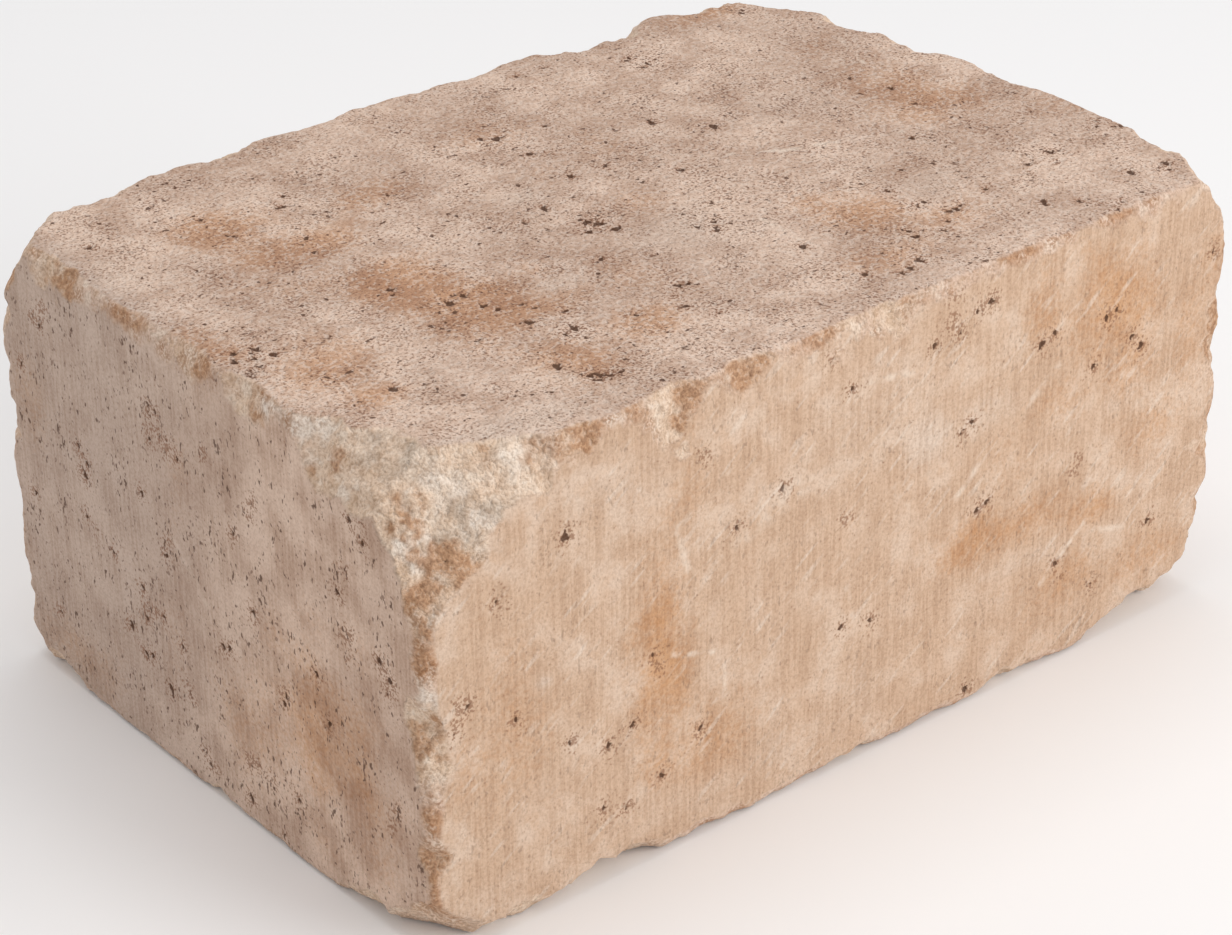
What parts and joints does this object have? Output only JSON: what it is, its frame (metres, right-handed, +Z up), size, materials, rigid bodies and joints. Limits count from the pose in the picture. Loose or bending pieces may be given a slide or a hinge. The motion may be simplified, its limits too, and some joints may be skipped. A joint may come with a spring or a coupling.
{
  "type": "tumbled concrete wall block",
  "caption": "Solid rectangular concrete wall block with worn, chipped arrises and knocked corners, laid flat in courses for garden and retaining walls.",
  "frame": {"origin": "middle of the bed face, the face that the block lies on", "axes": "+X along the block's length, +Y from the weathered front face to the back, +Z up through the top face"},
  "size_m": [0.29, 0.2, 0.14],
  "materials": {
    "concrete": "matt dry-cast concrete, sandy tan with rust-brown stains and fine pits"
  },
  "bodies": {
    "root": {"wall_block": "concrete"}
  },
  "joints": []
}
